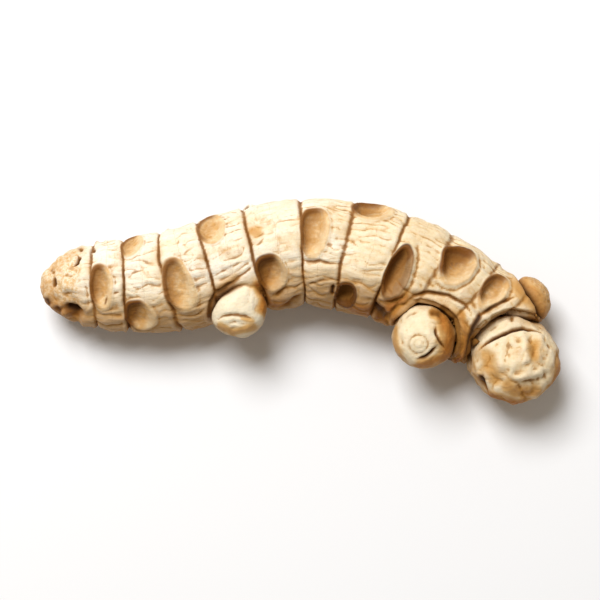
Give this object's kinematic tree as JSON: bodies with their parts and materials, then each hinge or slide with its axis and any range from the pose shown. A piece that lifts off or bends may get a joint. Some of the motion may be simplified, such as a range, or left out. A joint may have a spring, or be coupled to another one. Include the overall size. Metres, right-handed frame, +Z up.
{
  "type": "dried solomon's seal rhizome",
  "caption": "Curved dried rhizome lying on its side, ringed with growth grooves and oval stem-scar hollows, with knobs at its head.",
  "frame": {"origin": "middle of the root's footprint, on the surface it rests on", "axes": "+X along the root from its old broken tail to its knobbed budding head, +Y towards the outside of its curve, +Z up"},
  "size_m": [0.1162, 0.0464, 0.0224],
  "materials": {
    "dried_skin": "matte, finely wrinkled, cream to tan with browner grooves and hollows"
  },
  "bodies": {
    "root": {"rhizome": "dried_skin"}
  },
  "joints": []
}
